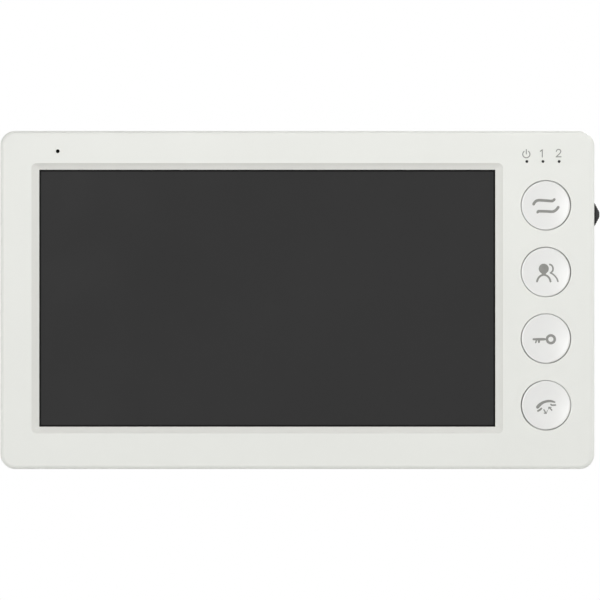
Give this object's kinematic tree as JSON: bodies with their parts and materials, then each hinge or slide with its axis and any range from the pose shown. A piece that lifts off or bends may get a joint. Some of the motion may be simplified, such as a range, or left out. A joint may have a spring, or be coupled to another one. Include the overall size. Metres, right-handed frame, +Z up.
{
  "type": "video intercom monitor",
  "caption": "Wall-hung video intercom monitor: flat off-white casing, wide dark screen in a sloping border, column of round push keys, side jog control and hook-on wall bracket.",
  "frame": {"origin": "middle of the bracket's wall screw pattern, on the wall plane, where the bracket's back face meets the wall", "axes": "+X to the right as seen from the front, +Y backwards into the wall, +Z up; the screen faces -Y"},
  "size_m": [0.204, 0.0213, 0.115],
  "materials": {
    "bracket_steel": "zinc-plated sheet steel",
    "front_casing": "satin off-white ABS",
    "back_casing": "fine-grained off-white ABS",
    "window": "smoked hard-coated acrylic",
    "tape": "black adhesive tape",
    "foam": "black foam",
    "sheet_metal": "pressed sheet metal",
    "display_glass": "dark display glass, opaque here",
    "diffuser": "white diffuser stack",
    "dark_plastic": "dark moulded plastic",
    "polyimide": "amber flexible circuit",
    "cream_plastic": "natural nylon",
    "board": "green solder mask on glass-epoxy",
    "chip": "black moulding compound",
    "can_metal": "drawn aluminium can",
    "pin_metal": "tinned brass",
    "grey_cable": "grey flat cable",
    "smoked_plastic": "dark tinted acrylic",
    "black_rubber": "black rubber",
    "red_cable": "red cable jacket",
    "black_paper": "black pressed paper",
    "magnet": "dark ferrite and steel",
    "black_cable": "black cable jacket",
    "screw_black": "black-oxide screw",
    "screw_steel": "zinc-plated screw",
    "key_plastic": "satin white moulded cap",
    "jog_black": "black moulded knob"
  },
  "bodies": {
    "bracket": {"wall_bracket": "bracket_steel"},
    "monitor": {"front_shell": "front_casing", "back_shell": "back_casing", "screen_window": "window", "window_tape": "tape", "lcd_gasket": "foam", "lcd_bezel": "sheet_metal", "lcd_glass": "display_glass", "backlight_unit": "diffuser", "lcd_holder": "dark_plastic", "lcd_ribbon": "polyimide", "ribbon_connector": "cream_plastic", "main_board": "board", "main_chips": "chip", "capacitors": "can_metal", "inductors": "chip", "wire_headers": "cream_plastic", "header_pins": "pin_metal", "key_board": "board", "key_cable": "grey_cable", "tact_switches": "chip", "jog_switch": "dark_plastic", "status_leds": "cream_plastic", "light_guide": "smoked_plastic", "mic_capsule": "can_metal", "mic_boot": "black_rubber", "mic_lead": "red_cable", "speaker_frame": "sheet_metal", "speaker_cone": "black_paper", "speaker_magnet": "magnet", "speaker_gasket": "foam", "speaker_lead": "black_cable", "case_screws": "screw_black", "holder_screws": "screw_steel", "board_screws": "screw_steel", "speaker_screws": "screw_steel"},
    "monitor_button": {"key_monitor": "key_plastic", "plunger_monitor": "dark_plastic"},
    "intercom_button": {"key_intercom": "key_plastic", "plunger_intercom": "dark_plastic"},
    "unlock_button": {"key_unlock": "key_plastic", "plunger_unlock": "dark_plastic"},
    "talk_button": {"key_talk": "key_plastic", "plunger_talk": "dark_plastic"},
    "jog_press": {"jog_stem": "dark_plastic"},
    "jog_rocker": {"jog_knob": "jog_black"}
  },
  "joints": [
    {"name": "hang_lift", "type": "slide", "parent": "bracket", "child": "monitor", "axis": [0, 0, 1], "range_m": [0, 0.007]},
    {"name": "monitor_press", "type": "slide", "parent": "monitor", "child": "monitor_button", "axis": [0, 1, 0], "range_m": [0, 0.0005], "stiffness_N_per_m": 600, "springref_m": -0.002},
    {"name": "intercom_press", "type": "slide", "parent": "monitor", "child": "intercom_button", "axis": [0, 1, 0], "range_m": [0, 0.0005], "stiffness_N_per_m": 600, "springref_m": -0.002},
    {"name": "unlock_press", "type": "slide", "parent": "monitor", "child": "unlock_button", "axis": [0, 1, 0], "range_m": [0, 0.0005], "stiffness_N_per_m": 600, "springref_m": -0.002},
    {"name": "talk_press", "type": "slide", "parent": "monitor", "child": "talk_button", "axis": [0, 1, 0], "range_m": [0, 0.0005], "stiffness_N_per_m": 600, "springref_m": -0.002},
    {"name": "jog_press_in", "type": "slide", "parent": "monitor", "child": "jog_press", "axis": [-1, 0, 0], "range_m": [0, 0.0005], "stiffness_N_per_m": 700, "springref_m": -0.0018},
    {"name": "jog_rock", "type": "hinge", "parent": "jog_press", "child": "jog_rocker", "pos_m": [0.0976, -0.01565, 0.0291], "axis": [0, 1, 0], "range_deg": [-8, 8], "stiffness_Nm_per_rad": 0.02}
  ]
}
